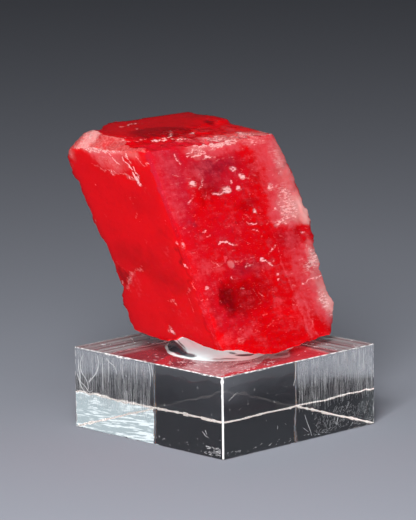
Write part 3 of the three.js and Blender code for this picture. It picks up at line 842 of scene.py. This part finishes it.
speck_share = combine("MULTIPLY", speck_share, combine("MULTIPLY_ADD", read("plain"), -0.6, 0.9))
broad_share = combine("MULTIPLY", broad, combine("MULTIPLY", read("plain"), 0.22))
tick_share = combine("MULTIPLY", ramp(cloud(3.4, 3.0, (1.2, 0.4, 1.8)), 0.62, 0.76), 0.4)
tick_share = combine("MULTIPLY", tick_share, combine("MULTIPLY_ADD", read("plain"), -0.75, 1.0))
colour = blend_in(CLEAR_RED, DARK_RED, speck_share)
colour = blend_in(colour, DARK_RED, broad_share)
colour = blend_in(colour, DEEP_RED, deep_share)
colour = blend_in(colour, VIOLET_RED, violet_share)
colour = blend_in(colour, HAZE_AND_SHEEN_PINK, haze_and_sheen_share)
pale_share = combine("MULTIPLY", read("pale"), combine("MULTIPLY_ADD", mottle, 1.2, 0.3))
colour = blend_in(colour, PALE_PINK, pale_share)
colour = blend_in(colour, PALE_PINK, tick_share)
colour = blend_in(colour, FROST_AND_GLINT_WHITE, frost_and_glint_share)
tree.links.new(colour, shader.inputs["Base Color"])
roughness = combine("MULTIPLY_ADD", combine("MAXIMUM", frost_and_glint_share, read("rough")), 0.3, 0.14)
tree.links.new(roughness, shader.inputs["Roughness"])
tree.links.new(
    blend_in((0, 0, 0, 1), GLOW_RED, read("glow")), shader.inputs["Emission Color"])
shader.inputs["Emission Strength"].default_value = 0.9
shader.inputs["IOR"].default_value = 1.6
shader.inputs["Specular IOR Level"].default_value = 0.03
shader.inputs["Specular Tint"].default_value = (1.0, 0.25, 0.3, 1)
shader.inputs["Transmission Weight"].default_value = 0.3
diffuse_share = combine("MINIMUM", combine("ADD", read("pale"), frost_and_glint_share), 1.0)
tree.links.new(
    combine("MULTIPLY_ADD", diffuse_share, -0.7, 1.0), shader.inputs["Subsurface Weight"])
shader.inputs["Subsurface Radius"].default_value = (1.0, 0.05, 0.05)
shader.inputs["Subsurface Scale"].default_value = 5 * MM
absorb = add_node(tree, "ShaderNodeVolumeAbsorption", Color=(0.95, 0.02, 0.04, 1), Density=400)
tree.links.new(absorb.outputs["Volume"], tree.nodes["Material Output"].inputs["Volume"])
crystal.data.materials.append(gem)
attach(crystal, "root")
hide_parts("rhodochrosite_crystal")


# ---- Adhesive pad ----
# The crystal stands in a blob of clear adhesive, squeezed out under its weight and drawn up
# into a lip at its left. It is bonded to the block below and the broken underside above.

PAD_RADII = np.array([9.6, 9.9, 10.0, 9.9, 9.8, 9.9, 10.7, 11.0, 10.1, 7.2, 8.9, 9.3]) * MM
PAD_SINK = 0.05 * MM
LIP_TURN = np.radians(197)
LIP_REACH = 4.4 * MM
BROW_INSET = 0.5 * MM
WALL_HOLLOW = 0.45 * MM
FOOT_SPREAD = 0.3 * MM
LEAST_HEIGHT = 0.4 * MM
# The dark streaks and the white are painted refraction: they stand in for what the blob refracts.
# Its cyan cast offsets the crystal's red light, and its emission is painted caught light.
DARK_STREAKS = [
    (158, 0.5, 36, 0.42, 0.12, 1.0), (180, 0.36, 15, 0.3, 0.2, 1.0),
    (191, 0.17, 10, 0.12, 0.3, 0.9), (216, 0.1, 7, 0.06, 0.5, 0.5), (226, 0.16, 9, 0.05, 0.5, 0.8),
    (236, 0.56, 3.5, 0.1, 0.3, 0.8), (245, 0.4, 11, 0.11, 0.3, 0.95),
    (306, 0.6, 12, 0.2, 0.4, 0.7),
]
STREAK_LEAN = 18
PAINTED_REFRACTION_WHITE = (0.78, 0.97, 0.98, 1)
STREAK_GREY = (0.04, 0.06, 0.075, 1)
CAUGHT_LIGHT = (0.62, 1.0, 0.98, 1)


def underside_height(x, y):
    """The height of the crystal's underside over places, found by sliding up or down until
    the place lies on the underside's wall, cut by its depth there."""
    normal, distance = crystal_walls[FOOT]
    height = np.full(len(x), block_high[2] + 2 * MM)
    for _ in range(4):
        places = np.stack([x, y, height], axis=1)
        cut = crystal_depths(places)[FOOT]
        height = (distance - cut - normal[0] * x - normal[1] * y) / normal[2]
    return height


def pad_surface(around=220, rings=36):
    """Rings from the middle of the bottom out to the rim, up a hollow wall that wanders with
    the turn, and back in over the top, which follows the crystal's underside.
    Returns the points, the quads, the points' numbers by ring, their turns and how far up
    the wall each one is."""
    turn = np.linspace(0, 2 * np.pi, around, endpoint=False)
    rim = np.interp(turn, np.radians(np.arange(0, 390, 30)), np.append(PAD_RADII, PAD_RADII[0]))
    rim += 0.12 * MM * np.sin(5 * turn) + 0.08 * MM * np.sin(11 * turn + 1)
    lip = np.exp(-((turn - LIP_TURN) / np.radians(15)) ** 2)
    brow = rim - BROW_INSET + LIP_REACH * lip + 0.25 * MM * np.sin(7 * turn + 2)
    spread = np.linspace(0.01, 1, 10)[:, None]
    rise = np.linspace(0, 1, rings)[1:, None]
    hollow = np.sin(np.pi * rise) * WALL_HOLLOW - FOOT_SPREAD * (1 - rise) ** 6
    wall = rim + (brow - rim) * rise ** 1.6 - hollow
    radius = np.concatenate([rim * spread, wall, brow * spread[::-1][1:]])
    x = PAD_CENTRE[0] + radius * np.cos(turn)
    y = PAD_CENTRE[1] + radius * np.sin(turn)
    bottom = block_high[2] - PAD_SINK
    share = np.concatenate([0 * spread, rise ** 1.2, 1 + 0 * spread[1:]])
    top = underside_height(x.reshape(-1), y.reshape(-1)).reshape(x.shape) + 1.6 * PAD_SINK
    top = np.maximum(top, bottom + LEAST_HEIGHT)
    top[:-9] = top[-9]
    points = np.stack([x, y, bottom + (top - bottom) * share], axis=-1)
    number = np.arange(radius.size).reshape(radius.shape)
    beside = np.roll(number, -1, axis=1)
    quads = np.stack([number[:-1], beside[:-1], beside[1:], number[1:]], -1).reshape(-1, 4)
    turns = np.broadcast_to(turn, radius.shape)
    return points.reshape(-1, 3), quads, number, turns, share * np.ones(around)


points, quads, number, turns, shares = pad_surface()
mesh = bpy.data.meshes.new("adhesive_blob")
mesh.from_pydata(
    points.tolist(), [], quads.tolist() + [number[0][::-1].tolist(), number[-1].tolist()])
mesh.polygons.foreach_set("use_smooth", np.full(len(mesh.polygons), True))
pad = bpy.data.objects.new("adhesive_blob", mesh)
bpy.context.scene.collection.objects.link(pad)
degrees, heights = np.degrees(turns.reshape(-1)), shares.reshape(-1)
dark = gather(degrees + STREAK_LEAN * heights, heights, DARK_STREAKS)
layer = mesh.attributes.new("dark", "FLOAT", "POINT")
layer.data.foreach_set("value", dark)
adhesive, tree, shader = new_material("clear_adhesive")
dim = add_node(tree, "ShaderNodeAttribute", {"attribute_name": "dark"})
tree.links.new(
    blend_in(PAINTED_REFRACTION_WHITE, STREAK_GREY, dim.outputs["Fac"]), shader.inputs["Base Color"])
shader.inputs["Roughness"].default_value = 0.05
shader.inputs["IOR"].default_value = 1.45
shader.inputs["Transmission Weight"].default_value = 0.2
shader.inputs["Coat Weight"].default_value = 1.0
tree.links.new(
    blend_in(CAUGHT_LIGHT, (0, 0, 0, 1), dim.outputs["Fac"]), shader.inputs["Emission Color"])
shader.inputs["Emission Strength"].default_value = 0.2
pad.data.materials.append(adhesive)
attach(pad, "root")
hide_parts("clear_adhesive_pad")


# ---- Studio: floor, lights and camera ----
# A plain pale floor; a soft light above, a key light and a low one at the front; and a wide
# dim panel at the right, with two narrow strips, for the block's inner faces to reflect.

FLOOR_HALF = 3.0
AIR_GAP = 0.03 * MM
floor_mesh = bpy.data.meshes.new("floor")
floor_mesh.from_pydata(
    [(-FLOOR_HALF, -FLOOR_HALF, -AIR_GAP), (FLOOR_HALF, -FLOOR_HALF, -AIR_GAP),
     (FLOOR_HALF, FLOOR_HALF, -AIR_GAP), (-FLOOR_HALF, FLOOR_HALF, -AIR_GAP)], [], [(0, 1, 2, 3)])
floor = bpy.data.objects.new("floor", floor_mesh)
bpy.context.scene.collection.objects.link(floor)
paper, tree, shader = new_material("floor_paper")
shader.inputs["Base Color"].default_value = (0.233, 0.245, 0.284, 1)
shader.inputs["Roughness"].default_value = 0.8
floor.data.materials.append(paper)

VIEW_HEADING = 46.08
VIEW_DOWN = 10.85
VIEW_ROLL = -0.794
VIEW_DISTANCE = 598.5 * MM
VIEW_AIM_RIGHT = -2.23 * MM
VIEW_AIM_UP = 24.69 * MM
LENS = 276.92

world = bpy.data.worlds.new("studio")
bpy.context.scene.world = world
world.use_nodes = True
world.node_tree.nodes["Background"].inputs["Color"].default_value = (0.022, 0.023, 0.027, 1)


def soft_light(name, azimuth, rise, distance, size, power, aim=(0, 0, 0.02), tint=(1, 1, 1)):
    """A square area light at a bearing, rise and distance from the aim, facing it."""
    light = bpy.data.lights.new(name, "AREA")
    light.shape = "RECTANGLE"
    light.size, light.size_y = size
    light.energy = power
    light.color = tint
    lamp = bpy.data.objects.new(name, light)
    bpy.context.scene.collection.objects.link(lamp)
    aim = Vector(aim)
    lamp.location = aim + Vector(direction(azimuth, rise)) * distance
    lamp.rotation_euler = (aim - lamp.location).to_track_quat("-Z", "Y").to_euler()
    lamp.visible_camera = False
    return lamp


# The two front lights are kept from showing as bright squares through the block.
front = VIEW_HEADING + 180
soft_light("overhead", front, 54, 0.36, (0.18, 0.18), 0.52)
key = soft_light("soft_front", front - 9, 32, 0.42, (0.15, 0.15), 2.7)
key.visible_transmission = False
low = soft_light("low_front", front - 24, 7, 0.45, (0.24, 0.06), 0.75)
low.visible_transmission = False
low.visible_glossy = False
soft_light("panel_right", front + 81, 14, 0.45, (0.24, 0.22), 0.105, tint=(0.80, 0.94, 1.0))
soft_light("strip_right", front + 81, 13, 0.44, (0.24, 0.018), 0.007)
soft_light("strip_low", front + 81, 8, 0.44, (0.24, 0.012), 0.005)

camera_data = bpy.data.cameras.new("camera")
camera = bpy.data.objects.new("camera", camera_data)
bpy.context.scene.collection.objects.link(camera)
bpy.context.scene.camera = camera
ahead = direction(VIEW_HEADING, -VIEW_DOWN)
right = np.cross(ahead, [0, 0, 1])
right /= np.linalg.norm(right)
up = np.cross(right, ahead)
place = -ahead * VIEW_DISTANCE + right * VIEW_AIM_RIGHT + up * VIEW_AIM_UP
tilt = np.radians(VIEW_ROLL)
side = np.cos(tilt) * right + np.sin(tilt) * up
over = np.cos(tilt) * up - np.sin(tilt) * right
turned = Matrix((side, over, -ahead)).transposed().to_4x4()
camera.matrix_world = Matrix.Translation(Vector(place)) @ turned
camera_data.lens = LENS
camera_data.clip_start, camera_data.clip_end = 0.05, 20
bpy.context.scene.view_settings.view_transform = "Standard"
